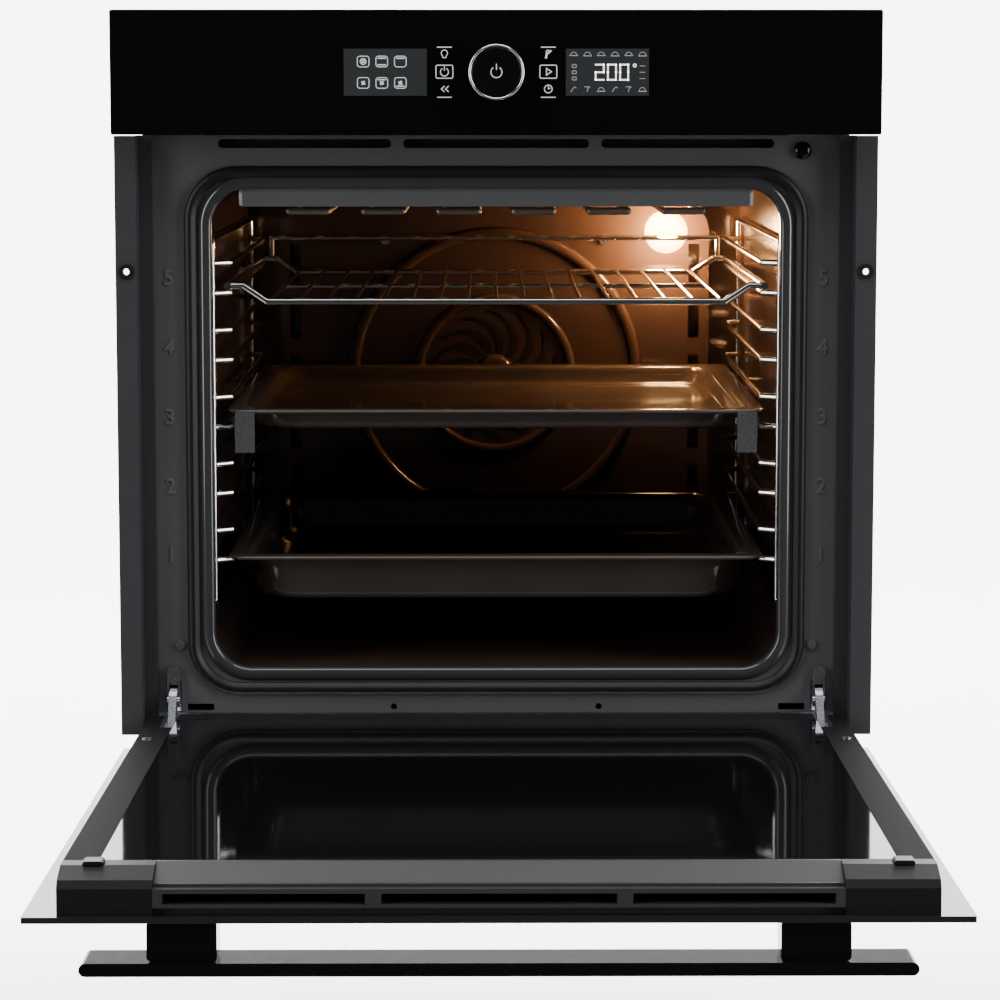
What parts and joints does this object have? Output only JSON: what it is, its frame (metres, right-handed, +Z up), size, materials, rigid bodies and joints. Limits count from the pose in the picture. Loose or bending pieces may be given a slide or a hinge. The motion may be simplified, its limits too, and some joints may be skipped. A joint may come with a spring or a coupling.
{
  "type": "built-in wall oven",
  "caption": "Built-in single wall oven with an open drop-down glass door, bar handle, central knob, wire shelf, baking tray on telescopic runners and a deep pan",
  "frame": {"origin": "middle of the casing's underside in x, on the shelf that the oven stands on, in the plane of the cabinet's front face", "axes": "+Z up, -Y out of the front, +X to the right seen from the front"},
  "size_m": [0.595, 1.0233, 0.6114],
  "materials": {
    "casing_steel": "galvanised sheet",
    "black_enamel": "satin vitreous enamel",
    "trim_paint": "satin powder coat",
    "cavity_enamel": "gloss vitreous enamel",
    "black_plastic": "satin moulding",
    "gloss_black": "gloss",
    "insulation_wool": "mineral wool",
    "seal_rubber": "matt silicone",
    "zinc": "zinc plated",
    "heater_sheath": "heat-stained sheath",
    "motor_steel": "laminated and pressed steel",
    "chrome_wire": "polished",
    "ceramic_white": "steatite",
    "lamp_glass": "clear",
    "panel_glass": "black printed, gloss",
    "door_glass": "coated, gloss",
    "display": "backlit display",
    "board_green": "coated fibreglass board",
    "grey_plastic": "moulded"
  },
  "bodies": {
    "root": {"base_panel": "casing_steel", "side_panels": "casing_steel", "top_cover": "casing_steel", "back_panel": "casing_steel", "front_frame": "black_enamel", "side_trims": "trim_paint", "trim_bushes": "black_plastic", "cavity": "cavity_enamel", "insulation": "insulation_wool", "gasket": "seal_rubber", "fan_baffle": "cavity_enamel", "cavity_screws": "zinc", "ring_element": "heater_sheath", "convection_motor": "motor_steel", "grill_element": "heater_sheath", "bottom_element": "heater_sheath", "lamp_holder": "ceramic_white", "lamp_bulb": "lamp_glass", "lamp_cover": "lamp_glass", "temperature_probe": "zinc", "side_rack_left": "chrome_wire", "side_rack_right": "chrome_wire", "runner_rails": "zinc", "control_glass": "panel_glass", "panel_carrier": "black_plastic", "displays": "display", "control_board": "board_green", "encoder": "grey_plastic", "air_duct": "casing_steel", "cooling_motor": "motor_steel", "terminal_block": "grey_plastic", "hinge_receivers": "zinc", "hinge_arms": "zinc", "switch_housing": "black_plastic"},
    "door": {"door_outer_glass": "panel_glass", "door_middle_glass": "door_glass", "door_inner_glass": "door_glass", "door_side_profiles": "black_plastic", "door_bottom_rail": "motor_steel", "door_top_trim": "black_plastic", "door_corner_caps": "black_plastic", "handle_bar": "gloss_black", "handle_posts": "gloss_black", "door_screws": "zinc", "hinge_cases": "zinc", "hinge_pins": "zinc", "hinge_springs": "zinc"},
    "shelf": {"wire_shelf": "chrome_wire"},
    "runner_middle": {"runner_middles": "zinc"},
    "tray": {"baking_tray": "cavity_enamel", "runner_inners": "zinc"},
    "pan": {"deep_pan": "cavity_enamel"},
    "shaft": {"encoder_shaft": "zinc"},
    "knob": {"knob": "gloss_black", "knob_ring": "chrome_wire"},
    "plunger": {"switch_plunger": "gloss_black"},
    "hot_fan": {"convection_fan": "motor_steel"},
    "cool_fan": {"cooling_wheel": "grey_plastic"},
    "lever_left": {"lock_lever_left": "zinc"},
    "lever_right": {"lock_lever_right": "zinc"}
  },
  "joints": [
    {"name": "door_hinge", "type": "hinge", "parent": "root", "child": "door", "pos_m": [0, -0.004, 0.025], "axis": [-1, 0, 0], "range_deg": [0, 88.5]},
    {"name": "shelf_slide", "type": "slide", "parent": "root", "child": "shelf", "axis": [0, 1, 0], "range_m": [-0.2, 0]},
    {"name": "tray_slide", "type": "slide", "parent": "root", "child": "tray", "axis": [0, 1, 0], "range_m": [-0.28, 0]},
    {"name": "runner_slide", "type": "slide", "parent": "root", "child": "runner_middle", "axis": [0, 1, 0], "range_m": [-0.14, 0]},
    {"name": "pan_slide", "type": "slide", "parent": "root", "child": "pan", "axis": [0, 1, 0], "range_m": [-0.2, 0]},
    {"name": "knob_turn", "type": "hinge", "parent": "root", "child": "shaft", "pos_m": [0, -0.03, 0.55], "axis": [0, 1, 0], "continuous": true},
    {"name": "knob_press", "type": "slide", "parent": "shaft", "child": "knob", "axis": [0, 1, 0], "range_m": [0, 0.0025], "stiffness_N_per_m": 1200, "springref_m": -0.001},
    {"name": "switch_press", "type": "slide", "parent": "root", "child": "plunger", "axis": [0, 1, 0], "range_m": [0, 0.0024], "stiffness_N_per_m": 400, "springref_m": -0.001},
    {"name": "convection_spin", "type": "hinge", "parent": "root", "child": "hot_fan", "pos_m": [0, 0.43, 0.271], "axis": [0, 1, 0], "continuous": true},
    {"name": "cooling_spin", "type": "hinge", "parent": "root", "child": "cool_fan", "pos_m": [0, 0.33, 0.54], "axis": [0, 0, 1], "continuous": true},
    {"name": "lever_left_swing", "type": "hinge", "parent": "root", "child": "lever_left", "pos_m": [-0.25775, 0.0122, 0.052], "axis": [-1, 0, 0], "range_deg": [-85, 0]},
    {"name": "lever_right_swing", "type": "hinge", "parent": "root", "child": "lever_right", "pos_m": [0.25775, 0.0122, 0.052], "axis": [-1, 0, 0], "range_deg": [-85, 0]}
  ],
  "couplings": [
    {"joint": "runner_slide", "follows": "tray_slide", "ratio": 0.5}
  ]
}
